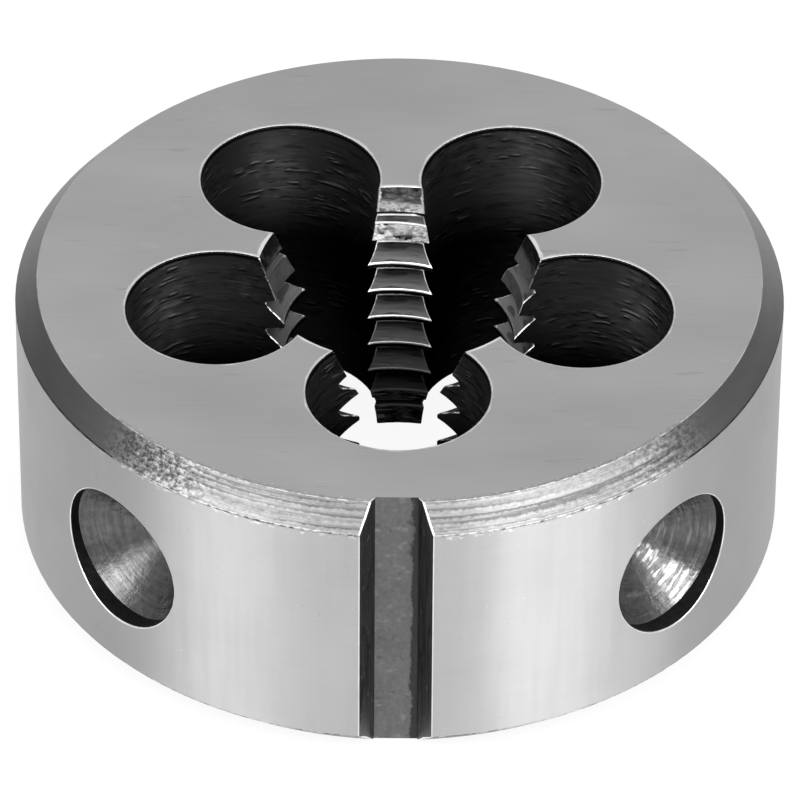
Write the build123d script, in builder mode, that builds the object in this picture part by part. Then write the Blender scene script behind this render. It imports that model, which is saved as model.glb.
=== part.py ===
from build123d import *
from math import ceil, radians, tan
import os

# A solid round threading die, 45 x 18 mm, that cuts an M16 x 2 right-hand thread.
# Frame: +Z up along the thread's axis, origin on that axis at the bottom face.
# The V-groove in the rim faces -Y.

# Disc, chamfered along both edges of the rim
outside_diameter = 45.0
thickness = 18.0
chamfer_axial = 1.5
top_chamfer_radial = 1.3
bottom_chamfer_radial = 1.6

# Thread: a 60 degree V with a flat crest on the die's teeth and a flat root between them
thread_major_diameter = 16.0
thread_pitch = 2.0
flank_angle = 30.0
crest_flat_share = 1 / 6
root_flat_share = 1 / 8
thread_start_height = 1.3

# Lead-in cones, from a mouth just wider than the thread down to its full depth
lead_mouth_clearance = 0.35
top_lead_pitches = 2.0
bottom_lead_pitches = 2.2

# Chip holes round the thread
chip_hole_count = 5
chip_hole_diameter = 10.55
chip_circle_diameter = 22.3
edge_break = 0.1

# V-groove down the rim, for the stock's centre screw
groove_azimuth = -90.0
groove_depth = 1.75
groove_mouth_width = 4.25
groove_floor_width = 2.45

# Conical recesses in the rim, for the stock's two locking screws
recess_offset_angle = 46.0
recess_diameter = 8.9
recess_lip_depth = 1.1
recess_cone_angle = 90.0

# How far each cutter runs past the surface that it opens
overrun = 1.0

outside_radius = outside_diameter / 2
major_radius = thread_major_diameter / 2
flank_slope = tan(radians(flank_angle))
root_flat = root_flat_share * thread_pitch
tooth_gap = (1 - crest_flat_share) * thread_pitch
tooth_height = (tooth_gap - root_flat) / 2 / flank_slope
minor_radius = major_radius - tooth_height
mouth_radius = major_radius + lead_mouth_clearance
chip_hole_radius = chip_hole_diameter / 2
recess_radius = recess_diameter / 2
recess_lip_floor = outside_radius - recess_lip_depth
recess_apex = recess_lip_floor - recess_radius / tan(radians(recess_cone_angle / 2))

# Cutter for the gap between two teeth of one land. It follows the helix from the middle of one chip
# hole to the middle of the next, and reaches a little into the bore along the same flanks.
with BuildPart() as gap_cutter:
    with BuildLine():
        land_helix = Helix(thread_pitch, thread_pitch / chip_hole_count, minor_radius)
    with BuildSketch(Plane.XZ):
        with BuildLine():
            Polyline(
                (minor_radius - root_flat, -tooth_gap / 2 - root_flat * flank_slope),
                (major_radius, -root_flat / 2),
                (major_radius, root_flat / 2),
                (minor_radius - root_flat, tooth_gap / 2 + root_flat * flank_slope),
                close=True,
            )
        make_face()
    sweep(path=land_helix, is_frenet=True)

# Cutter for one chip hole, along Z, opening out at both ends to break the edges
with BuildPart() as chip_cutter:
    with BuildSketch(Plane.XZ):
        with BuildLine():
            Polyline(
                (0, -overrun),
                (chip_hole_radius + edge_break + overrun, -overrun),
                (chip_hole_radius, edge_break),
                (chip_hole_radius, thickness - edge_break),
                (chip_hole_radius + edge_break + overrun, thickness + overrun),
                (0, thickness + overrun),
                close=True,
            )
        make_face()
    revolve(axis=Axis.Z)

# Cutter for one recess, along X: a short straight lip, then a cone to a point
with BuildPart() as recess_cutter:
    with BuildSketch(Plane.XY):
        with BuildLine():
            Polyline(
                (recess_apex, 0),
                (recess_lip_floor, recess_radius),
                (outside_radius + overrun, recess_radius),
                (outside_radius + overrun, 0),
                close=True,
            )
        make_face()
    revolve(axis=Axis.X)

with BuildPart() as die_body:
    # The chamfered disc, bored to the teeth's crests, with a lead-in cone at each end
    with BuildSketch(Plane.XZ):
        with BuildLine():
            Polyline(
                (mouth_radius, 0),
                (outside_radius - bottom_chamfer_radial, 0),
                (outside_radius, chamfer_axial),
                (outside_radius, thickness - chamfer_axial),
                (outside_radius - top_chamfer_radial, thickness),
                (mouth_radius, thickness),
                (minor_radius, thickness - top_lead_pitches * thread_pitch),
                (minor_radius, bottom_lead_pitches * thread_pitch),
                close=True,
            )
        make_face()
    revolve(axis=Axis.Z)

    with PolarLocations(chip_circle_diameter / 2, chip_hole_count, start_angle=groove_azimuth):
        add(chip_cutter.part, mode=Mode.SUBTRACT)

    # The thread's turns, each a share of a pitch higher on every next land
    turns = ceil(thickness / thread_pitch) + 1
    land_angle = 360 / chip_hole_count
    gap_places = [
        Location(
            (0, 0, thread_start_height + (turn + land / chip_hole_count) * thread_pitch),
            (0, 0, groove_azimuth + land * land_angle),
        )
        for turn in range(-1, turns)
        for land in range(chip_hole_count)
    ]
    with Locations(*gap_places):
        add(gap_cutter.part, mode=Mode.SUBTRACT)

    # The V-groove, full height, with a flat floor
    groove_side_slope = (groove_mouth_width - groove_floor_width) / 2 / groove_depth
    overrun_half_width = groove_mouth_width / 2 + overrun * groove_side_slope
    with BuildSketch(Plane.XY.rotated((0, 0, groove_azimuth))):
        with BuildLine():
            Polyline(
                (outside_radius - groove_depth, -groove_floor_width / 2),
                (outside_radius + overrun, -overrun_half_width),
                (outside_radius + overrun, overrun_half_width),
                (outside_radius - groove_depth, groove_floor_width / 2),
                close=True,
            )
        make_face()
    extrude(amount=thickness, mode=Mode.SUBTRACT)

    recess_places = [
        Location((0, 0, thickness / 2), (0, 0, groove_azimuth + side * recess_offset_angle))
        for side in (-1, 1)
    ]
    with Locations(*recess_places):
        add(recess_cutter.part, mode=Mode.SUBTRACT)

die_body.part.label = "die_body"

os.makedirs("parts", exist_ok=True)
export_step(die_body.part, "parts/die_body.step")
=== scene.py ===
"""Looks of a round threading die: ground faces, turned chamfers, drilled chip holes, cut thread."""

from math import cos, hypot, pi, radians, sin

import bmesh
import bpy
from mathutils import Matrix, Vector


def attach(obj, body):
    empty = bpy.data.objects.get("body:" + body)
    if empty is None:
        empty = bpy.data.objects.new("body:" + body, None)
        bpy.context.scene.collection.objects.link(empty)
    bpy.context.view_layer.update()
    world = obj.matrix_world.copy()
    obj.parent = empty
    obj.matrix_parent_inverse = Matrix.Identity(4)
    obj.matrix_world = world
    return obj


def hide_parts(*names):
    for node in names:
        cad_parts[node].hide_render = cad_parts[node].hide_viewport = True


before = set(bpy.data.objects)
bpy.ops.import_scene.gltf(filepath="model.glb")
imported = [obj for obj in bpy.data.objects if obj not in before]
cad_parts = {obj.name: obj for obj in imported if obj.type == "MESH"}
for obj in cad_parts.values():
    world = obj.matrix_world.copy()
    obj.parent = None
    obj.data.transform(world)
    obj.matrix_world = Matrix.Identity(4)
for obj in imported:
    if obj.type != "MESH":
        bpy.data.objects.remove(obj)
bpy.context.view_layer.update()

MM = 0.001

# The die's main sizes, in millimetres, as the frame has them
RIM_RADIUS = 22.5
THICKNESS = 18.0
MID_HEIGHT = THICKNESS / 2
BOTTOM_CHAMFER = 1.6
CREST_RADIUS = 6.773
MOUTH_RADIUS = 8.35
TOP_LEAD = 4.0
BOTTOM_LEAD = 4.4
PITCH = 2.0
FLANK_SLOPE = 0.577
HOLE_COUNT = 5
HOLE_RADIUS = 5.275
HOLE_CIRCLE_RADIUS = 11.15
GROOVE_HALF_WIDTH = 2.15
GROOVE_DEPTH = 1.75
RECESS_ANGLE = 46.0
RECESS_RADIUS = 4.45
RECESS_TIP_RADIUS = 16.95

HOLE_STEP = 2 * pi / HOLE_COUNT


def flat_direction(angle):
    return Vector((cos(angle), sin(angle), 0))


# The middles of the chip holes, and the ways that the two recesses point, the left one first
HOLES = [
    flat_direction(-pi / 2 + k * HOLE_STEP).xy * HOLE_CIRCLE_RADIUS for k in range(HOLE_COUNT)
]
RECESSES = [flat_direction(radians(-90 + side * RECESS_ANGLE)) for side in (-1, 1)]

# ------------------------------------------------------------------ node tools


def put(tree, kind, inputs=None, **settings):
    """A new node. Inputs go by name or number, as values or as the sockets that feed them."""
    new = tree.nodes.new(kind)
    for name, value in settings.items():
        setattr(new, name, value)
    for name, value in (inputs or {}).items():
        feed(tree, new.inputs[name], value)
    return new


def feed(tree, socket, value):
    """Gives an input a value, or links it to the socket that feeds it."""
    if isinstance(value, bpy.types.NodeSocket):
        tree.links.new(value, socket)
    else:
        socket.default_value = value


def calc(tree, operation, *values, clamp=False):
    """The output of a Math node."""
    inputs = dict(enumerate(values))
    return put(tree, "ShaderNodeMath", inputs, operation=operation, use_clamp=clamp).outputs[0]


def vector_calc(tree, operation, *values, scale=None):
    """The output of a Vector Math node, which is a number for a length or a dot product."""
    inputs = dict(enumerate(values))
    if scale is not None:
        inputs["Scale"] = scale
    node = put(tree, "ShaderNodeVectorMath", inputs, operation=operation)
    return node.outputs["Value" if operation in ("LENGTH", "DOT_PRODUCT") else "Vector"]


def product(tree, *factors):
    result = factors[0]
    for factor in factors[1:]:
        result = calc(tree, "MULTIPLY", result, factor)
    return result


def join(tree, x=0.0, y=0.0, z=0.0):
    """A vector from its three parts."""
    return put(tree, "ShaderNodeCombineXYZ", {"X": x, "Y": y, "Z": z}).outputs[0]


def split(tree, vector):
    """The three parts of a vector, as X, Y and Z."""
    return put(tree, "ShaderNodeSeparateXYZ", {0: vector}).outputs


def between(tree, value, low, high, low_out=0.0, high_out=1.0):
    """The value, eased from low..high to low_out..high_out and held at both ends."""
    inputs = {
        "Value": value, "From Min": low, "From Max": high, "To Min": low_out, "To Max": high_out,
    }
    node = put(tree, "ShaderNodeMapRange", inputs, interpolation_type="SMOOTHSTEP")
    return node.outputs["Result"]


def grey(level):
    return (level, level, level, 1.0)


def noise(tree, vector, detail, roughness):
    inputs = {"Vector": vector, "Scale": 1.0, "Detail": detail, "Roughness": roughness}
    return put(tree, "ShaderNodeTexNoise", inputs).outputs["Fac"]


def group(name, inputs, outputs):
    """An empty node group with number or vector sockets: its tree, its inputs and its outputs."""
    tree = bpy.data.node_groups.new(name, "ShaderNodeTree")
    for direction, sockets in (("INPUT", inputs), ("OUTPUT", outputs)):
        for socket, default in sockets.items():
            kind = "NodeSocketVector" if isinstance(default, tuple) else "NodeSocketFloat"
            made = tree.interface.new_socket(socket, in_out=direction, socket_type=kind)
            if direction == "INPUT":
                made.default_value = default
    given = tree.nodes.new("NodeGroupInput").outputs
    return tree, given, tree.nodes.new("NodeGroupOutput").inputs


def use(tree, effect, **inputs):
    """The outputs of a shared effect, placed in a material with its own values."""
    placed = put(tree, "ShaderNodeGroup", node_tree=effect)
    for name, value in inputs.items():
        feed(tree, placed.inputs[name], value)
    return placed.outputs


# ------------------------------------------------------------------ camera, floor and light

VIEW_ELEVATION = radians(38.57)
VIEW_AZIMUTH = radians(0.2)
VIEW_ROLL = radians(0.394)
VIEW_DISTANCE = 0.465
LENS = 353.7
SENSOR = 36.0
CAMERA_AIM = Vector((0, 0, MID_HEIGHT * MM))
SHIFT = (0.00134, -0.00913)

# The floor lies a hair under the die, so that the two share no plane
FLOOR_HALF_WIDTH = 1.5
FLOOR_DROP = 0.00002
FLOOR_GREY = 0.9
FLOOR_GLOW_SHARE = 0.9

# The studio's brightness rises from the first level to the second between these two heights
WORLD_HEIGHTS = (0.05, 0.62)
WORLD_LEVELS = (0.28, 0.95)

# Name, azimuth and elevation in degrees, distance and size in metres, and power in watts.
# Azimuth 0 is over the camera's shoulder, and grows to the right.
LAMP_AIM = Vector((0, 0, 0))
LAMPS = (
    ("left_softbox", -47, 20, 0.5, (0.18, 0.34), 0.27),
    ("right_softbox", 42, 20, 0.5, (0.24, 0.34), 0.5),
    ("front_softbox", 0, 50, 0.6, (0.6, 0.2), 1.9),
    ("left_wing", -54, 40, 0.6, (0.34, 0.2), 1.15),
    ("right_wing", 56, 40, 0.6, (0.5, 0.2), 1.85),
)


def facing(direction, distance, aim):
    """A place that lies off the aim in a direction and at a distance, turned to look at it."""
    turn = direction.to_track_quat("Z", "Y").to_matrix().to_4x4()
    return Matrix.Translation(aim + direction * distance) @ turn


def sky_direction(azimuth, elevation):
    """The way to a point of the sky, from azimuth 0 at the front of the die."""
    return Vector((
        sin(azimuth) * cos(elevation),
        -cos(azimuth) * cos(elevation),
        sin(elevation),
    ))


def make_camera():
    data = bpy.data.cameras.new("camera")
    data.lens = LENS
    data.sensor_width = SENSOR
    data.shift_x, data.shift_y = SHIFT
    data.clip_start = 0.01
    camera = bpy.data.objects.new("camera", data)
    bpy.context.scene.collection.objects.link(camera)
    back = sky_direction(VIEW_AZIMUTH, VIEW_ELEVATION)
    roll = Matrix.Rotation(VIEW_ROLL, 4, "Z")
    camera.matrix_world = facing(back, VIEW_DISTANCE, CAMERA_AIM) @ roll
    bpy.context.scene.camera = camera


def make_floor():
    mesh = bpy.data.meshes.new("floor")
    bm = bmesh.new()
    bmesh.ops.create_grid(bm, x_segments=1, y_segments=1, size=FLOOR_HALF_WIDTH)
    bm.to_mesh(mesh)
    bm.free()
    floor = bpy.data.objects.new("floor", mesh)
    floor.location.z = -FLOOR_DROP
    bpy.context.scene.collection.objects.link(floor)
    material = bpy.data.materials.new("white_paper")
    material.use_nodes = True
    tree = material.node_tree
    tree.nodes.clear()
    matte = put(tree, "ShaderNodeBsdfDiffuse", {"Color": grey(FLOOR_GREY)})
    glow = put(tree, "ShaderNodeEmission", {"Color": grey(1.0), "Strength": 1.0})
    path = put(tree, "ShaderNodeLightPath").outputs
    seen = calc(tree, "MAXIMUM", path["Is Camera Ray"], path["Is Glossy Ray"])
    seen = calc(tree, "MAXIMUM", seen, path["Is Transmission Ray"])
    share = calc(tree, "MULTIPLY", seen, FLOOR_GLOW_SHARE)
    both = put(tree, "ShaderNodeMixShader", {0: share, 1: matte.outputs[0], 2: glow.outputs[0]})
    put(tree, "ShaderNodeOutputMaterial", {"Surface": both.outputs[0]})
    mesh.materials.append(material)


def make_world():
    world = bpy.data.worlds.new("studio")
    bpy.context.scene.world = world
    world.use_nodes = True
    tree = world.node_tree
    tree.nodes.clear()
    height = split(tree, put(tree, "ShaderNodeTexCoord").outputs["Generated"])["Z"]
    level = between(tree, height, *WORLD_HEIGHTS, *WORLD_LEVELS)
    back = put(tree, "ShaderNodeBackground", {"Color": grey(1.0), "Strength": level})
    put(tree, "ShaderNodeOutputWorld", {"Surface": back.outputs[0]})


def make_lamp(name, azimuth, elevation, distance, size, power):
    """An area lamp that faces the die."""
    data = bpy.data.lights.new(name, "AREA")
    data.shape = "RECTANGLE"
    data.size, data.size_y = size
    data.energy = power
    lamp = bpy.data.objects.new(name, data)
    bpy.context.scene.collection.objects.link(lamp)
    out = sky_direction(radians(azimuth), radians(elevation))
    lamp.matrix_world = facing(out, distance, LAMP_AIM)


# ------------------------------------------------------------------ shared effects


def point_in_mm(tree):
    """Object coordinates, in millimetres."""
    coordinates = put(tree, "ShaderNodeTexCoord").outputs["Object"]
    return vector_calc(tree, "MULTIPLY", coordinates, (1 / MM, 1 / MM, 1 / MM))


def make_place():
    """Where a point of the die lies.

    Point and Height are in millimetres, Radius is the distance from the axis and Angle the way
    round from the groove. Hole Gap is the distance to the wall of the nearest chip hole, and Gap
    the distance to the nearest edge of the whole opening.
    """
    sockets = {
        "Point": (0, 0, 0), "Radius": 0.0, "Angle": 0.0, "Height": 0.0, "Hole Gap": 0.0, "Gap": 0.0,
    }
    tree, _, out = group("place_on_die", {}, sockets)
    point = point_in_mm(tree)
    parts = split(tree, point)
    radius = vector_calc(tree, "LENGTH", vector_calc(tree, "MULTIPLY", point, (1, 1, 0)))
    angle = calc(tree, "ARCTAN2", parts["X"], calc(tree, "MULTIPLY", parts["Y"], -1.0))
    hole_number = calc(tree, "ROUND", calc(tree, "DIVIDE", angle, HOLE_STEP))
    turn = calc(tree, "SUBTRACT", angle, calc(tree, "MULTIPLY", hole_number, HOLE_STEP))
    across = calc(tree, "MULTIPLY", radius, calc(tree, "SINE", turn))
    along = calc(tree, "MULTIPLY", radius, calc(tree, "COSINE", turn))
    along = calc(tree, "SUBTRACT", along, HOLE_CIRCLE_RADIUS)
    squares = calc(tree, "MULTIPLY_ADD", across, across, calc(tree, "MULTIPLY", along, along))
    hole_gap = calc(tree, "SUBTRACT", calc(tree, "SQRT", squares), HOLE_RADIUS)
    gap = calc(tree, "MINIMUM", hole_gap, calc(tree, "SUBTRACT", radius, MOUTH_RADIUS))
    for socket, value in zip(sockets, (point, radius, angle, parts["Z"], hole_gap, gap)):
        tree.links.new(value, out[socket])
    return tree


def from_recess_tip(tree, point):
    """The way to a point from the tip of its own recess, with the left recess mirrored."""
    tip = RECESSES[1] * RECESS_TIP_RADIUS
    mirrored = vector_calc(tree, "ABSOLUTE", point)
    return vector_calc(tree, "SUBTRACT", mirrored, (tip.x, -tip.y, MID_HEIGHT))


def make_recess_place():
    """Where a point lies in its own recess: the way round the axis, and the distance from it."""
    outputs = {"Round": (0, 0, 0), "Off": 0.0}
    tree, given, out = group("place_in_recess", {"Point": (0, 0, 0)}, outputs)
    axis = (RECESSES[1].x, -RECESSES[1].y, 0)
    from_tip = from_recess_tip(tree, given["Point"])
    along = vector_calc(tree, "DOT_PRODUCT", from_tip, axis)
    on_axis = vector_calc(tree, "SCALE", axis, scale=along)
    off = vector_calc(tree, "SUBTRACT", from_tip, on_axis)
    tree.links.new(vector_calc(tree, "NORMALIZE", off), out["Round"])
    tree.links.new(vector_calc(tree, "LENGTH", off), out["Off"])
    return tree


def make_streaks():
    """Fine lines: a noise drawn out along the ways whose Stretch is small.

    Height is the noise itself, about 0.5, and Tone a factor that swings about 1 by Strength.
    """
    sockets = {"Place": (0, 0, 0), "Stretch": (1, 1, 1), "Strength": 0.1, "Detail": 3.0}
    tree, given, out = group("streaks", sockets, {"Tone": 0.0, "Height": 0.0})
    drawn = vector_calc(tree, "MULTIPLY", given["Place"], given["Stretch"])
    field = noise(tree, drawn, detail=given["Detail"], roughness=0.6)
    swing = calc(tree, "MULTIPLY", calc(tree, "SUBTRACT", field, 0.5), given["Strength"])
    tree.links.new(calc(tree, "MULTIPLY_ADD", swing, 2.0, 1.0), out["Tone"])
    tree.links.new(field, out["Height"])
    return tree


def make_marks():
    """Sparse scratches, dents or stains: the peaks of a drawn-out noise above Rarity, as a mask."""
    sockets = {
        "Place": (0, 0, 0), "Stretch": (1, 1, 1), "Rarity": 0.7, "Softness": 0.05,
        "Offset": (0, 0, 0),
    }
    tree, given, out = group("marks", sockets, {"Mask": 0.0})
    drawn = vector_calc(tree, "MULTIPLY_ADD", given["Place"], given["Stretch"], given["Offset"])
    field = noise(tree, drawn, detail=1.5, roughness=0.5)
    full = calc(tree, "ADD", given["Rarity"], given["Softness"])
    tree.links.new(between(tree, field, given["Rarity"], full), out["Mask"])
    return tree


place_on_die = make_place()
place_in_recess = make_recess_place()
streaks = make_streaks()
marks = make_marks()

# ------------------------------------------------------------------ parts of a finish


def steel(name, build):
    """A metal material whose nodes are made by build(tree, shader, place)."""
    material = bpy.data.materials.new(name)
    material.use_nodes = True
    tree = material.node_tree
    tree.nodes.clear()
    shader = put(tree, "ShaderNodeBsdfPrincipled", {"Metallic": 1.0})
    put(tree, "ShaderNodeOutputMaterial", {"Surface": shader.outputs[0]})
    build(tree, shader, use(tree, place_on_die))
    return material


def lay(tree, base, level, mask, share=1.0):
    """The base level, replaced by a share of another level where the mask is."""
    inputs = {"Factor": calc(tree, "MULTIPLY", mask, share), "A": base, "B": level}
    return put(tree, "ShaderNodeMix", inputs, data_type="FLOAT").outputs[0]


def dress(tree, shader, level, roughness, height=None, depth=0.0):
    """Sets a finish: its grey level, its roughness and its relief in millimetres."""
    parts = {"Red": level, "Green": level, "Blue": level}
    colour = put(tree, "ShaderNodeCombineColor", parts).outputs[0]
    feed(tree, shader.inputs["Base Color"], colour)
    feed(tree, shader.inputs["Roughness"], roughness)
    if height is not None:
        relief = {"Height": height, "Strength": 1.0, "Distance": depth * MM}
        bump = put(tree, "ShaderNodeBump", relief)
        feed(tree, shader.inputs["Normal"], bump.outputs["Normal"])


def dull_glance(shader, level):
    """Holds back the mirror-bright sheen of metal seen at a low angle, as in an oily bore."""
    shader.inputs["Specular Tint"].default_value = grey(level)


def brush(tree, shader, across, amount):
    """Fine tool lines that spread the sheen the way that the across vector points."""
    shader.inputs["Anisotropic"].default_value = amount
    tree.links.new(across, shader.inputs["Tangent"])


def turn_lines(tree, shader, amount):
    """Fine tool lines that run round the axis."""
    around = put(tree, "ShaderNodeTangent", direction_type="RADIAL", axis="Z").outputs[0]
    shader.inputs["Anisotropic Rotation"].default_value = 0.25
    brush(tree, shader, around, amount)


def ragged(tree, field, swing, measure):
    """A measure that wavers with a noise, so that a border drawn by it is uneven."""
    return calc(tree, "MULTIPLY_ADD", field, swing, measure)


def centred(tree, field):
    """A noise, moved to swing about 0."""
    return calc(tree, "SUBTRACT", field, 0.5)


def daylight(tree, place, dark_height, light_height, least):
    """Painted shade, the light a wall of the opening gets: least low down, all higher up."""
    return between(tree, place["Height"], dark_height, light_height, least, 1.0)


def way_round(tree, place, turns, rings):
    """Coordinates for lines that run round the axis: the way out from it, and the radius.

    The top and the bottom of the die get lines of their own, set apart by more than they span.
    """
    radii = join(tree, place["Radius"], place["Radius"], 1.0)
    out = vector_calc(tree, "DIVIDE", place["Point"], radii)
    side = calc(tree, "SIGN", calc(tree, "SUBTRACT", place["Height"], MID_HEIGHT))
    apart = calc(tree, "MULTIPLY", side, 40.0)
    depth = calc(tree, "MULTIPLY_ADD", place["Radius"], rings, apart)
    scaled = vector_calc(tree, "MULTIPLY", out, (turns, turns, 0.0))
    return vector_calc(tree, "ADD", scaled, join(tree, z=depth))


def near_angle(tree, place, degrees, half_width, softness):
    """A mask for a stretch of the rim, told by its way round from the groove."""
    off = calc(tree, "ABSOLUTE", calc(tree, "SUBTRACT", place["Angle"], radians(degrees)))
    return between(tree, off, radians(half_width + softness), radians(half_width))


def chatter_zone(tree, place):
    """Where the chamfering tool chattered: hard to the left of the groove, less to its right."""
    left = near_angle(tree, place, degrees=-39, half_width=3, softness=10)
    right = near_angle(tree, place, degrees=45, half_width=3, softness=8)
    return calc(tree, "MAXIMUM", left, calc(tree, "MULTIPLY", right, 0.5))


def back_land(tree, place):
    """A mask for the land opposite the groove, by its way round in radians."""
    return between(tree, calc(tree, "ABSOLUTE", place["Angle"]), 2.2, 2.7)


# ------------------------------------------------------------------ finishes


def ground_face(tree, shader, place):
    """The flat faces: straight grinding lines, rubbed rims round openings with painted highlight.
    """
    point = place["Point"]
    grain = use(tree, streaks, Place=point, Stretch=(0.22, 7.0, 1.0), Strength=0.07, Detail=4.0)
    cloud = use(tree, streaks, Place=point, Stretch=(0.07, 0.13, 0.2), Strength=0.16, Detail=2.0)
    dark = use(tree, marks, Place=point, Stretch=(0.28, 2.0, 1.0), Rarity=0.67, Softness=0.12)
    light = use(
        tree, marks,
        Place=point, Stretch=(0.5, 0.7, 1.0), Rarity=0.66, Softness=0.12, Offset=(31, 5, 2),
    )
    grit = use(tree, streaks, Place=point, Stretch=(3.6, 3.6, 1.0), Strength=0.9, Detail=2.0)
    level = product(tree, 0.39, grain["Tone"], cloud["Tone"])
    level = lay(tree, level, 0.26, dark["Mask"], share=0.45)
    level = lay(tree, level, 0.46, light["Mask"], share=0.3)

    # The border with the chamfer, torn at the front
    border = ragged(tree, grit["Height"], 0.6, place["Radius"])
    front = near_angle(tree, place, degrees=0, half_width=46, softness=8)
    torn = product(tree, between(tree, border, 21.2, 21.36), front)
    level = lay(tree, level, product(tree, level, grit["Tone"], 0.9), torn)

    # A rubbed rim painted bright as a highlight, duller round chip holes than at the bore's mouth
    waver = use(tree, streaks, Place=point, Stretch=(0.7, 0.7, 0.7), Strength=0.1, Detail=3.0)
    gap = ragged(tree, waver["Height"], 0.36, place["Gap"])
    wear_and_highlight_level = between(tree, place["Hole Gap"], 0.4, 0.6, 0.67, 0.75)
    level = lay(tree, level, wear_and_highlight_level, between(tree, gap, 0.4, 0.29))

    roughness = between(tree, cloud["Height"], 0.3, 0.7, 0.32, 0.4)
    dress(tree, shader, level, roughness, height=grain["Height"], depth=0.002)
    brush(tree, shader, join(tree, y=1.0), 0.5)


def turned_chamfer(tree, shader, place):
    """The chamfers: smooth and dark at the sides and the back, with torn tool rings in front;
    painted shade darkens the far left, and the front rings are painted a little brighter.
    """
    point = place["Point"]
    grit = use(tree, streaks, Place=point, Stretch=(3.4, 3.4, 5.0), Strength=1.4, Detail=3.0)
    shake = join(tree, z=grit["Height"])
    wide_shake = vector_calc(tree, "MULTIPLY", shake, (0, 0, 1.1))
    fine = vector_calc(tree, "ADD", way_round(tree, place, turns=1.6, rings=12.0), shake)
    coarse = vector_calc(tree, "ADD", way_round(tree, place, turns=1.1, rings=6.5), wide_shake)
    rings = use(tree, streaks, Place=fine, Strength=0.6, Detail=2.0)
    dark = use(tree, marks, Place=coarse, Rarity=0.54, Softness=0.07, Offset=(3, 8, 1))
    light = use(tree, marks, Place=coarse, Rarity=0.54, Softness=0.08, Offset=(11, 5, 4))
    smooth = way_round(tree, place, turns=5.0, rings=2.0)
    smear = use(tree, streaks, Place=smooth, Strength=0.2, Detail=3.0)
    front = near_angle(tree, place, degrees=2, half_width=41, softness=11)
    chatter = chatter_zone(tree, place)

    # Painted shade: darker at the far left
    left_shade = between(tree, split(tree, point)["X"], -21.0, -15.0, 0.11, 0.145)
    level = product(tree, left_shade, smear["Tone"])
    # Tool rings in front, painted a tenth brighter there as a highlight
    level = lay(tree, level, product(tree, level, rings["Tone"], 1.1), front)
    level = lay(tree, level, 0.07, product(tree, dark["Mask"], front), share=0.7)
    level = lay(tree, level, 0.25, product(tree, light["Mask"], front), share=0.6)
    speckles = between(tree, grit["Height"], 0.34, 0.66, 0.5, 1.75)
    level = lay(tree, level, product(tree, level, speckles), chatter)
    level = lay(tree, level, product(tree, level, grit["Tone"]), front, share=0.4)

    height = product(tree, rings["Height"], front)
    height = calc(tree, "MULTIPLY_ADD", grit["Height"], chatter, height)
    dress(tree, shader, level, roughness=0.36, height=height, depth=0.02)
    turn_lines(tree, shader, 0.6)


def ground_rim(tree, shader, place):
    """The rim: fine lines round it, faint upright ones, specks, and a torn upper border."""
    point = place["Point"]
    grind = use(tree, streaks, Place=point, Stretch=(0.25, 0.25, 9.0), Strength=0.05, Detail=3.0)
    drawn = use(tree, streaks, Place=point, Stretch=(2.4, 2.4, 0.12), Strength=0.07, Detail=3.0)
    cloud = use(tree, streaks, Place=point, Stretch=(0.2, 0.2, 0.2), Strength=0.08, Detail=2.0)
    grit = use(tree, streaks, Place=point, Stretch=(2.4, 2.4, 4.0), Strength=1.6, Detail=2.0)
    specks = use(tree, marks, Place=point, Stretch=(3.0, 3.0, 4.0), Rarity=0.76, Softness=0.05)
    pits = use(
        tree, marks,
        Place=point, Stretch=(4.0, 4.0, 4.0), Rarity=0.765, Softness=0.04, Offset=(9, 3, 21),
    )
    level = product(tree, 0.485, grind["Tone"], drawn["Tone"], cloud["Tone"])
    level = lay(tree, level, 0.75, specks["Mask"], share=0.6)
    level = lay(tree, level, 0.2, pits["Mask"], share=0.6)
    border = ragged(tree, grit["Height"], 0.8, place["Height"])
    front = near_angle(tree, place, degrees=0, half_width=48, softness=10)
    torn = product(tree, between(tree, border, 16.66, 16.8), front)
    level = lay(tree, level, calc(tree, "MULTIPLY", level, grit["Tone"], clamp=True), torn)
    roughness = between(tree, drawn["Height"], 0.3, 0.7, 0.42, 0.48)
    dress(tree, shader, level, roughness, height=grind["Height"], depth=0.002)
    turn_lines(tree, shader, 1.0)


def groove_side(tree, shader, place):
    """The groove's side walls: dark, with upright tool lines and light chips."""
    point = place["Point"]
    drawn = use(tree, streaks, Place=point, Stretch=(4.0, 4.0, 0.25), Strength=1.3, Detail=3.0)
    chips = use(tree, marks, Place=point, Stretch=(3.0, 3.0, 1.4), Rarity=0.66, Softness=0.06)
    stains = use(
        tree, marks,
        Place=point, Stretch=(1.6, 1.6, 0.5), Rarity=0.58, Softness=0.1, Offset=(5, 1, 3),
    )
    level = product(tree, 0.085, drawn["Tone"])
    level = lay(tree, level, 0.02, stains["Mask"], share=0.8)
    level = lay(tree, level, 0.26, chips["Mask"], share=0.7)
    dress(tree, shader, level, roughness=0.45, height=drawn["Height"], depth=0.03)


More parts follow.
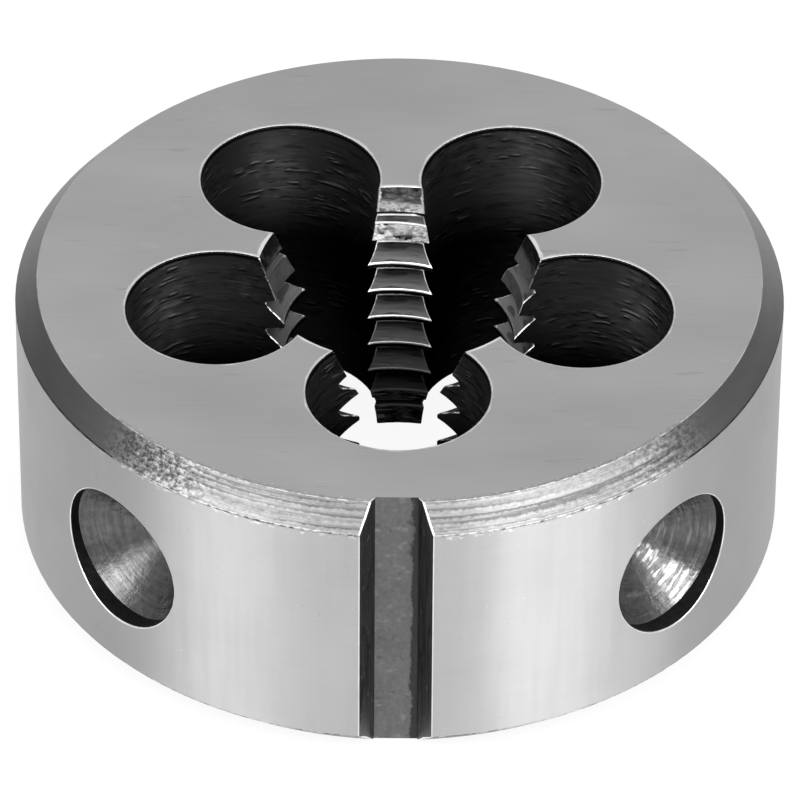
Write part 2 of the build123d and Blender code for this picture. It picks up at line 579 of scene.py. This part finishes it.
def groove_floor(tree, shader, place):
    """The groove's floor: rough as cast, with painted shade along its right side, by the corner."""
    point = place["Point"]
    cast = use(tree, streaks, Place=point, Stretch=(1.1, 1.1, 0.5), Strength=0.3, Detail=4.0)
    rough = use(tree, streaks, Place=point, Stretch=(4.0, 4.0, 3.4), Strength=0.3, Detail=3.0)
    nicks = use(tree, marks, Place=point, Stretch=(1.3, 1.3, 2.2), Rarity=0.58, Softness=0.16)
    pits = use(
        tree, marks,
        Place=point, Stretch=(1.8, 1.8, 1.6), Rarity=0.63, Softness=0.12, Offset=(7, 2, 5),
    )
    border = ragged(tree, centred(tree, cast["Height"]), 1.0, split(tree, point)["X"])
    border = ragged(tree, centred(tree, rough["Height"]), 0.4, border)
    # Painted shade along the right side of the floor, by the rounded corner
    corner_shade = between(tree, border, 0.76, 0.96)
    level = product(tree, 0.165, cast["Tone"], rough["Tone"])
    level = lay(tree, level, 0.27, nicks["Mask"], share=0.6)
    level = lay(tree, level, 0.07, pits["Mask"], share=0.5)
    level = lay(tree, level, product(tree, cast["Tone"], 0.045), corner_shade, share=0.95)
    dress(tree, shader, level, roughness=0.5, height=rough["Height"], depth=0.05)


def recess_lip(tree, shader, place):
    """The short straight wall at a recess's mouth, nearly black."""
    point = place["Point"]
    drawn = use(tree, streaks, Place=point, Stretch=(2.5, 2.5, 2.5), Strength=0.7, Detail=3.0)
    level = product(tree, 0.035, drawn["Tone"])
    dress(tree, shader, level, roughness=0.45, height=drawn["Height"], depth=0.02)


# The way from a recess's axis to the middle of its cone's painted highlight band: down and outward
HIGHLIGHT_BAND = (0.3475, -0.3595, -0.866)


def recess_cone(tree, shader, place):
    """The recesses' cones: turned rings and a painted highlight band, both stronger in the right
    recess as painted light, and a painted line up from the tip.
    """
    point = place["Point"]
    cone = use(tree, place_in_recess, Point=point)
    right = between(tree, split(tree, point)["X"], -1.0, 1.0)
    ring = calc(tree, "MULTIPLY", cone["Off"], 6.0)
    shift = join(tree, x=ring, y=calc(tree, "MULTIPLY", right, 20.0))
    along = vector_calc(tree, "ADD", cone["Round"], shift)
    turned = use(tree, streaks, Place=along, Strength=0.5, Detail=3.0)
    arcs = use(
        tree, marks,
        Place=along, Stretch=(1.3, 1.8, 1.8), Rarity=0.57, Softness=0.12, Offset=(2, 6, 1),
    )
    torn = use(
        tree, marks,
        Place=along, Stretch=(1.0, 3.2, 3.2), Rarity=0.48, Softness=0.12, Offset=(6, 3, 8),
    )
    scored = use(tree, streaks, Place=point, Stretch=(2.4, 2.4, 2.4), Strength=0.5, Detail=3.0)
    height = calc(tree, "ADD", turned["Height"], calc(tree, "MULTIPLY", scored["Height"], 0.9))
    level = product(tree, 0.14, turned["Tone"], scored["Tone"])
    arc_share = calc(tree, "MULTIPLY_ADD", right, 0.25, 0.05)
    level = lay(tree, level, 0.5, arcs["Mask"], arc_share)

    # A painted highlight band down the cone, with torn bright streaks in it
    facing = vector_calc(tree, "DOT_PRODUCT", cone["Round"], HIGHLIGHT_BAND)
    swept = ragged(tree, centred(tree, scored["Height"]), 0.06, facing)
    highlight_band = between(tree, swept, 0.95, 0.99)
    level = lay(tree, level, 0.2, highlight_band, calc(tree, "MULTIPLY_ADD", right, 0.35, 0.45))
    torn_highlight = product(tree, highlight_band, torn["Mask"])
    level = lay(tree, level, 0.7, torn_highlight, calc(tree, "MULTIPLY_ADD", right, 0.85, 0.1))

    # Painted light: a line straight up from the tip, bright in the right recess, dark in the left
    upward = between(tree, split(tree, cone["Round"])["Z"], 0.997, 0.9995)
    line_level = between(tree, right, 0.0, 1.0, 0.04, 0.28)
    level = lay(tree, level, line_level, upward, share=0.8)
    dress(tree, shader, level, roughness=0.37, height=height, depth=0.05)

    # The sheen spreads along the cone's slope, which is worked out here, as no group may feed it
    own_point = point_in_mm(tree)
    signs = vector_calc(tree, "SIGN", own_point)
    slope = vector_calc(tree, "MULTIPLY", from_recess_tip(tree, own_point), signs)
    brush(tree, shader, slope, 0.8)


def hole_wall(tree, shader, place):
    """The chip holes' walls: dark, oily, with patches of bright arcs that the drill tore, painted
    shadows beside them, painted shade towards the bottom, and a dark band just under the lip.
    """
    point = place["Point"]
    drawn = use(tree, streaks, Place=point, Stretch=(0.3, 0.3, 1.9), Strength=0.4, Detail=4.0)
    mottle = use(tree, streaks, Place=point, Stretch=(0.9, 0.9, 2.0), Strength=1.3, Detail=4.0)
    dark = use(
        tree, marks,
        Place=point, Stretch=(0.5, 0.5, 2.6), Rarity=0.6, Softness=0.08, Offset=(2, 9, 2),
    )
    torn = use(tree, marks, Place=point, Stretch=(0.5, 0.5, 3.0), Rarity=0.58, Softness=0.12)
    gouges = use(
        tree, marks,
        Place=point, Stretch=(0.7, 0.7, 4.6), Rarity=0.63, Softness=0.08, Offset=(8, 1, 6),
    )
    # Painted shadows, just beside the gouges
    shadows = use(
        tree, marks,
        Place=point, Stretch=(0.7, 0.7, 4.6), Rarity=0.58, Softness=0.08, Offset=(8, 1, 6.7),
    )
    patch = use(
        tree, marks,
        Place=point, Stretch=(0.25, 0.25, 0.36), Rarity=0.45, Softness=0.08, Offset=(5, 5, 5),
    )
    # Painted shade, darker towards the bottom of the hole; the wall is darker too just under the
    # lip
    light = daylight(tree, place, dark_height=9.5, light_height=15.5, least=0.05)
    under_lip = between(tree, place["Height"], 17.6, 17.8, 1.0, 0.1)
    level = product(tree, 0.095, drawn["Tone"])
    level = lay(tree, level, product(tree, level, mottle["Tone"]), patch["Mask"], share=0.8)
    level = lay(tree, level, 0.02, dark["Mask"], share=0.5)
    level = lay(tree, level, 0.2, product(tree, torn["Mask"], patch["Mask"]), share=0.6)
    level = lay(tree, level, 0.01, product(tree, shadows["Mask"], patch["Mask"]), share=0.8)
    level = lay(tree, level, 0.5, product(tree, gouges["Mask"], patch["Mask"]), share=0.6)
    level = product(tree, level, light, under_lip)
    dress(tree, shader, level, roughness=0.45, height=drawn["Height"], depth=0.08)
    dull_glance(shader, 0.1)


def hole_lip(tree, shader, place):
    """The small edge break round a chip hole, nearly black."""
    point = place["Point"]
    drawn = use(tree, streaks, Place=point, Stretch=(2.0, 2.0, 2.0), Strength=0.4, Detail=2.0)
    level = product(tree, 0.012, drawn["Tone"])
    dress(tree, shader, level, roughness=0.45, height=drawn["Height"], depth=0.01)


def lead_cone(tree, shader, place):
    """The lead-in cones: torn on the land at the back; painted light makes them bright there and
    dim on the others, dark at the top and bright lower down, and darker deeper in the bore.
    """
    point = place["Point"]
    mottle = use(tree, streaks, Place=point, Stretch=(1.7, 1.7, 1.9), Strength=2.6, Detail=3.0)
    torn = use(tree, marks, Place=point, Stretch=(0.7, 0.7, 3.2), Rarity=0.56, Softness=0.08)
    back = back_land(tree, place)
    border = ragged(tree, mottle["Height"], 1.6, place["Height"])
    # Painted highlight: dark at the top of the cone, bright lower down
    upper = between(tree, border, 18.2, 17.5, 0.13, 0.95)
    # Painted light: bright on the land at the back, dim on the others
    shade = calc(tree, "MULTIPLY_ADD", back, 0.7, 0.3)
    light = daylight(tree, place, dark_height=5.0, light_height=12.0, least=0.012)
    level = product(tree, upper, shade, light)
    mottled = product(tree, level, mottle["Tone"])
    level = lay(tree, level, mottled, calc(tree, "MULTIPLY_ADD", back, 0.8, 0.2))
    level = lay(tree, level, 0.06, product(tree, torn["Mask"], back), share=0.7)

    # A painted highlight along the chip holes, near the top only, on the land at the back
    edge = ragged(tree, mottle["Height"], 0.5, place["Hole Gap"])
    near_top = between(tree, place["Height"], 12.0, 14.0)
    worn = product(tree, between(tree, edge, 0.42, 0.34), near_top)
    level = lay(tree, level, 0.9, product(tree, worn, back), share=0.85)
    dress(tree, shader, level, roughness=0.38, height=mottle["Height"], depth=0.06)
    dull_glance(shader, 0.3)


def thread_flank(tree, shader, place):
    """The teeth's flanks and the roots between them: arcs of the cutter, with painted shade at
    the root and deeper down.
    """
    across = way_round(tree, place, turns=2.5, rings=3.0)
    arcs = use(tree, streaks, Place=across, Strength=0.45, Detail=3.0)
    stain_place = way_round(tree, place, turns=4.0, rings=2.4)
    stain = use(tree, marks, Place=stain_place, Rarity=0.57, Softness=0.08)
    light = daylight(tree, place, dark_height=2.5, light_height=12.5, least=0.07)
    # Painted shade in the roots between the teeth
    root = between(tree, place["Radius"], 7.95, 7.2, 0.6, 1.0)
    level = product(tree, 0.145, arcs["Tone"])
    level = lay(tree, level, 0.035, stain["Mask"], share=0.75)
    level = product(tree, level, light, root)
    dress(tree, shader, level, roughness=0.42, height=arcs["Height"], depth=0.03)
    dull_glance(shader, 0.3)


def thread_crest(tree, shader, place):
    """The teeth's flat crests, painted bright as a highlight, with painted shade deeper down."""
    point = place["Point"]
    worn = use(tree, streaks, Place=point, Stretch=(1.5, 1.5, 1.5), Strength=0.2, Detail=2.0)
    light = daylight(tree, place, dark_height=2.0, light_height=11.0, least=0.2)
    dress(tree, shader, product(tree, 0.85, worn["Tone"], light), roughness=0.38)


def worn_tooth_highlight(tree, shader, place):
    """The teeth's rounded upper edges as painted highlights: bright on the land at the back, dim
    on the others, broken along the chip holes, with painted shade deeper down.
    """
    point = place["Point"]
    worn = use(tree, streaks, Place=point, Stretch=(1.5, 1.5, 1.5), Strength=0.35, Detail=3.0)
    broken = use(tree, marks, Place=point, Stretch=(2.2, 2.2, 2.2), Rarity=0.42, Softness=0.1)
    light = daylight(tree, place, dark_height=4.3, light_height=14.0, least=0.03)
    topmost = between(tree, place["Height"], 14.9, 15.5, 1.0, 0.45)
    at_hole = between(tree, place["Hole Gap"], 0.3, 0.12)
    # Painted light: bright on the land at the back, dim on the others
    on_back = product(tree, back_land(tree, place), between(tree, at_hole, 0.0, 1.0, 1.0, 0.55))
    share = calc(tree, "MAXIMUM", on_back, product(tree, at_hole, broken["Mask"]))
    brightness = between(tree, share, 0.0, 1.0, 0.25, 1.0)
    level = product(tree, 0.9, worn["Tone"], light, topmost, brightness)
    dress(tree, shader, level, roughness=0.4)


def worn_edge_highlight(tree, shader, place):
    """Rubbed edges, painted bright as a highlight, a little duller round the chip holes."""
    point = place["Point"]
    worn = use(tree, streaks, Place=point, Stretch=(1.2, 1.2, 1.2), Strength=0.3, Detail=3.0)
    level = between(tree, place["Hole Gap"], 0.2, 0.4, 0.6, 0.85)
    dress(tree, shader, product(tree, level, worn["Tone"]), roughness=0.32)


def face_edge(tree, shader, place):
    """The edge between the flat face and the chamfer, broken at the front."""
    point = place["Point"]
    worn = use(tree, streaks, Place=point, Stretch=(0.8, 0.8, 0.8), Strength=0.7, Detail=4.0)
    gone = use(tree, marks, Place=point, Stretch=(2.6, 2.6, 2.6), Rarity=0.47, Softness=0.06)
    front = near_angle(tree, place, degrees=0, half_width=48, softness=8)
    level = product(tree, 0.45, worn["Tone"])
    level = lay(tree, level, 0.2, product(tree, gone["Mask"], front), share=0.8)
    dress(tree, shader, level, roughness=0.4)


def rim_edge(tree, shader, place):
    """The edge between the chamfer and the rim: uneven, painted bright in front as a highlight,
    and dark elsewhere.
    """
    point = place["Point"]
    worn = use(tree, streaks, Place=point, Stretch=(2.4, 2.4, 2.4), Strength=1.8, Detail=3.0)
    front = near_angle(tree, place, degrees=0, half_width=42, softness=8)
    # Painted highlight in front
    level = between(tree, front, 0.0, 1.0, 0.03, 0.42)
    uneven = between(tree, worn["Height"], 0.3, 0.7, 0.2, 1.6)
    dress(tree, shader, product(tree, level, uneven), roughness=0.4)


FINISHES = {
    "ground_face": ground_face,
    "turned_chamfer": turned_chamfer,
    "ground_rim": ground_rim,
    "groove_side": groove_side,
    "groove_floor": groove_floor,
    "recess_lip": recess_lip,
    "recess_cone": recess_cone,
    "hole_wall": hole_wall,
    "hole_lip": hole_lip,
    "lead_cone": lead_cone,
    "thread_flank": thread_flank,
    "thread_root": thread_flank,
    "thread_crest": thread_crest,
    "worn_tooth_highlight": worn_tooth_highlight,
    "worn_edge_highlight": worn_edge_highlight,
    "face_edge": face_edge,
    "rim_edge": rim_edge,
}
FINISH_NAMES = list(FINISHES)
ROUNDED = ("worn_tooth_highlight", "worn_edge_highlight", "face_edge", "rim_edge")
UPWARD = 0.2

# The rounded edges, in the order that they are made: the finishes that meet there, the width in
# millimetres, the finish of the new faces, and whether only edges that look up are rounded
ROUNDINGS = (
    (
        [("thread_flank", "thread_crest")],
        0.15, "worn_tooth_highlight", True,
    ),
    (
        [
            ("thread_flank", "lead_cone"), ("thread_flank", "hole_wall"),
            ("lead_cone", "hole_wall"), ("worn_tooth_highlight", "hole_wall"),
        ],
        0.08, "worn_tooth_highlight", True,
    ),
    (
        [("ground_face", "hole_lip"), ("ground_face", "lead_cone")],
        0.05, "worn_edge_highlight", False,
    ),
    (
        [("ground_face", "turned_chamfer")],
        0.04, "face_edge", False,
    ),
    (
        [("turned_chamfer", "ground_rim")],
        0.06, "rim_edge", False,
    ),
    (
        [("groove_side", "turned_chamfer"), ("groove_side", "ground_face")],
        0.1, "worn_edge_highlight", False,
    ),
    (
        [("groove_side", "ground_rim")],
        0.06, "worn_edge_highlight", False,
    ),
    (
        [("recess_lip", "ground_rim")],
        0.07, "worn_edge_highlight", False,
    ),
)

# ------------------------------------------------------------------ the die's mesh

# What tells the bare faces apart. A face's tilt is how far it looks up or down: 0 for an upright
# wall, 1 for a level face. The largest tilt of a wall and of a lip, and the smallest of the others:
WALL_TILT = 0.1
LIP_TILT = 0.8
CONE_TILT = 0.2
CHAMFER_TILT = 0.3
FLANK_TILT = 0.6
SQUARE = 0.99

# A face near a recess belongs to it if it looks away from the rim's own direction by this cosine,
# and to its straight lip if it looks across the recess's axis by the other
OFF_RIM = 0.985
ACROSS_AXIS = 0.3

# How far from a flat face the middles of a chip hole's lip faces lie at most, in millimetres
LIP_HEIGHT = 0.2

# Corners nearer to each other than this, in millimetres, are one
SAME_PLACE = 0.0001

# More than the mesh has vertices
INDEX_SPAN = 100000


def finish_of(face):
    """The finish of a face of the bare die, told from where it lies and which way it looks.

    The small bare numbers are the millimetres by which a facet's middle may miss the true surface.
    """
    centre = face.calc_center_median() / MM
    normal = face.normal
    tilt = abs(normal.z)
    radius = hypot(centre.x, centre.y)
    outward = Vector((centre.x, centre.y, 0)).normalized()
    hole_gap = min((centre.xy - hole).length for hole in HOLES) - HOLE_RADIUS
    for axis in RECESSES:
        along = centre.dot(axis)
        off = (centre - axis * along - Vector((0, 0, MID_HEIGHT))).length
        inside = along > RECESS_TIP_RADIUS - 0.1 and off < RECESS_RADIUS + 0.02
        if inside and normal.dot(outward) < OFF_RIM:
            return "recess_lip" if abs(normal.dot(axis)) < ACROSS_AXIS else "recess_cone"
    in_groove = RIM_RADIUS - GROOVE_DEPTH - 0.1 < radius < RIM_RADIUS - 0.02
    if in_groove and centre.y < 0 and abs(centre.x) < GROOVE_HALF_WIDTH:
        if normal.y < -SQUARE:
            return "groove_floor"
        if tilt < WALL_TILT:
            return "groove_side"
    if tilt > SQUARE:
        return "ground_face"
    if radius > RIM_RADIUS - BOTTOM_CHAMFER - 0.05:
        return "turned_chamfer" if tilt > CHAMFER_TILT else "ground_rim"
    if hole_gap > -0.05 and tilt < WALL_TILT:
        return "hole_wall"
    near_face = min(centre.z, THICKNESS - centre.z) < LIP_HEIGHT
    if hole_gap > -0.02 and tilt < LIP_TILT and near_face:
        return "hole_lip"
    if tilt > FLANK_TILT:
        return "thread_flank"
    if radius < CREST_RADIUS + 0.03:
        return "thread_crest"
    return "lead_cone" if tilt > CONE_TILT else "thread_root"


def surface_normal(finish, point, face_normal):
    """The true surface's outward direction at a point of a face, in place of the flat facet's."""
    out = Vector((point.x, point.y, 0)).normalized()
    up = Vector((0, 0, 1 if face_normal.z > 0 else -1))
    if finish == "ground_rim":
        return out
    if finish == "turned_chamfer":
        slope = face_normal.dot(out) / abs(face_normal.z)
        return (out * slope + up).normalized()
    if finish in ("hole_wall", "hole_lip"):
        hole = min(HOLES, key=lambda centre: (point.xy - centre).length)
        inward = (hole - point.xy).normalized().to_3d()
        return inward if finish == "hole_wall" else (inward + up).normalized()
    if finish in ("recess_lip", "recess_cone"):
        axis = max(RECESSES, key=point.dot)
        off = point - axis * point.dot(axis) - Vector((0, 0, MID_HEIGHT))
        if off.length < 0.05:
            return axis
        inward = -off.normalized()
        return inward if finish == "recess_lip" else (axis + inward).normalized()
    if finish in ("thread_crest", "thread_root"):
        return -out
    if finish == "lead_cone":
        drop = TOP_LEAD if point.z > MID_HEIGHT else BOTTOM_LEAD
        return (-out * drop + up * (MOUTH_RADIUS - CREST_RADIUS)).normalized()
    if finish == "thread_flank":
        along = Vector((-point.y, point.x, 0)).normalized()
        climb = PITCH / (2 * pi * hypot(point.x, point.y))
        return (up - out * FLANK_SLOPE - along * climb * up.z).normalized()
    return face_normal


def round_edges(bm, joins, width, finish, upper):
    """Rounds the edges where two of the named finishes meet, and gives the new faces a finish.

    With upper, an edge is left sharp unless its two faces together look up by more than UPWARD.
    """
    wanted = {frozenset(FINISH_NAMES.index(name) for name in join) for join in joins}
    edges = [
        edge for edge in bm.edges
        if len(edge.link_faces) == 2
        and frozenset(face.material_index for face in edge.link_faces) in wanted
        and not (upper and sum(face.normal.z for face in edge.link_faces) < UPWARD)
    ]
    made = bmesh.ops.bevel(
        bm, geom=edges, offset=width * MM, offset_type="OFFSET", affect="EDGES",
        segments=2, profile=0.5, material=-1, clamp_overlap=False, loop_slide=True,
    )
    for face in made["faces"]:
        face.material_index = FINISH_NAMES.index(finish)


def smooth_normals(mesh):
    """Gives every corner its true surface's direction; a worn edge blends its neighbours' ones."""
    rounded_finishes = [FINISH_NAMES.index(name) for name in ROUNDED]

    def true_normal(face, vertex):
        point = mesh.vertices[vertex].co / MM
        return surface_normal(FINISH_NAMES[face.material_index], point, face.normal)

    # At each vertex: the directions of the finishes that meet there, one of each, and the mean
    # direction of the rounded faces
    meeting = {}
    rounded = {}
    for face in mesh.polygons:
        for vertex in face.vertices:
            if face.material_index in rounded_finishes:
                rounded[vertex] = rounded.get(vertex, Vector()) + face.normal * face.area
            else:
                sides = meeting.setdefault(vertex, {})
                sides.setdefault(face.material_index, true_normal(face, vertex))

    normals = [None] * len(mesh.loops)
    for face in mesh.polygons:
        for loop in face.loop_indices:
            vertex = mesh.loops[loop].vertex_index
            if face.material_index in rounded_finishes:
                near = meeting.get(vertex, {}).values()
                sides = [side for side in near if side.dot(face.normal) > 0.5]
                blend = sum(sides, Vector()) if sides else rounded[vertex]
                normals[loop] = blend.normalized()
            else:
                normals[loop] = true_normal(face, vertex)
    mesh.shade_smooth()
    mesh.normals_split_custom_set(normals)


def corner_order(face):
    """A number that puts faces in the order of their three lowest corners."""
    first, second, third = sorted(vertex.index for vertex in face.verts)[:3]
    return (first * INDEX_SPAN + second) * INDEX_SPAN + third


def make_die():
    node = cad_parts["die_body"]
    bm = bmesh.new()
    bm.from_mesh(node.data)
    bmesh.ops.remove_doubles(bm, verts=bm.verts, dist=SAME_PLACE * MM)
    for face in bm.faces:
        face.material_index = FINISH_NAMES.index(finish_of(face))
    bmesh.ops.dissolve_limit(
        bm, angle_limit=radians(0.5), verts=bm.verts, edges=bm.edges, delimit={"MATERIAL"},
    )
    for rounding in ROUNDINGS:
        round_edges(bm, *rounding)
    # The bevels leave some corners in one place, which are made one, so that every face has an
    # area, and they make their faces in no fixed order, so the faces are put in one
    bmesh.ops.remove_doubles(bm, verts=bm.verts, dist=SAME_PLACE * MM)
    bm.verts.index_update()
    bm.faces.sort(key=corner_order)
    mesh = bpy.data.meshes.new("threading_die")
    bm.to_mesh(mesh)
    bm.free()
    for name, build in FINISHES.items():
        mesh.materials.append(steel(name, build))
    smooth_normals(mesh)
    die = bpy.data.objects.new("threading_die", mesh)
    bpy.context.scene.collection.objects.link(die)
    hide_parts("die_body")
    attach(die, "root")


make_camera()
make_floor()
make_world()
for lamp in LAMPS:
    make_lamp(*lamp)
make_die()

bpy.context.scene.view_settings.view_transform = "Standard"
